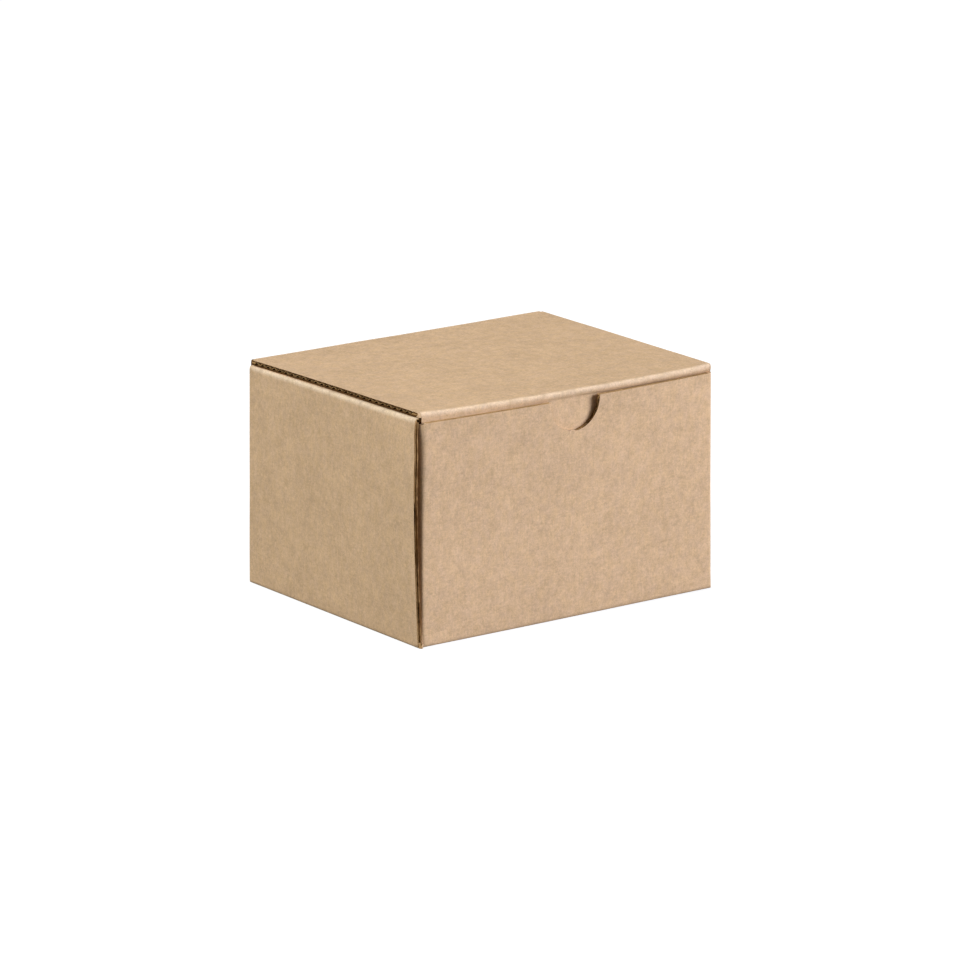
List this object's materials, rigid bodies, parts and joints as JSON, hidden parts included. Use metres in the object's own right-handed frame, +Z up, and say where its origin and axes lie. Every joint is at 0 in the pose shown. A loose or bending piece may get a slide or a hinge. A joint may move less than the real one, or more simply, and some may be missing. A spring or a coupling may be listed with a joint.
{
  "type": "cardboard box",
  "caption": "Closed roll-end tuck-top cardboard box of plain brown corrugated board, with a hinged lid, a tuck flap and a thumb notch in the front wall.",
  "frame": {"origin": "middle of the base's underside, on the surface that the box stands on", "axes": "+Z up; -Y is the front wall with the thumb notch, +Y the back wall that the lid hinges on; +X to the right seen from the front"},
  "size_m": [0.126, 0.101, 0.08],
  "materials": {
    "kraft_board": "matt uncoated brown kraft liner with fine fibres; raw cut edges show the fluting"
  },
  "bodies": {
    "tray": {"tray": "kraft_board"},
    "lid": {"lid": "kraft_board"},
    "tuck_flap": {"tuck_flap": "kraft_board"}
  },
  "joints": [
    {"name": "lid_hinge", "type": "hinge", "parent": "tray", "child": "lid", "pos_m": [0, 0.04991, 0.07941], "axis": [-1, 0, 0], "range_deg": [0, 120]},
    {"name": "flap_fold", "type": "hinge", "parent": "lid", "child": "tuck_flap", "pos_m": [0, -0.04638, 0.07828], "axis": [1, 0, 0], "range_deg": [0, 60]}
  ],
  "couplings": [
    {"joint": "flap_fold", "follows": "lid_hinge", "ratio": 0.5}
  ]
}
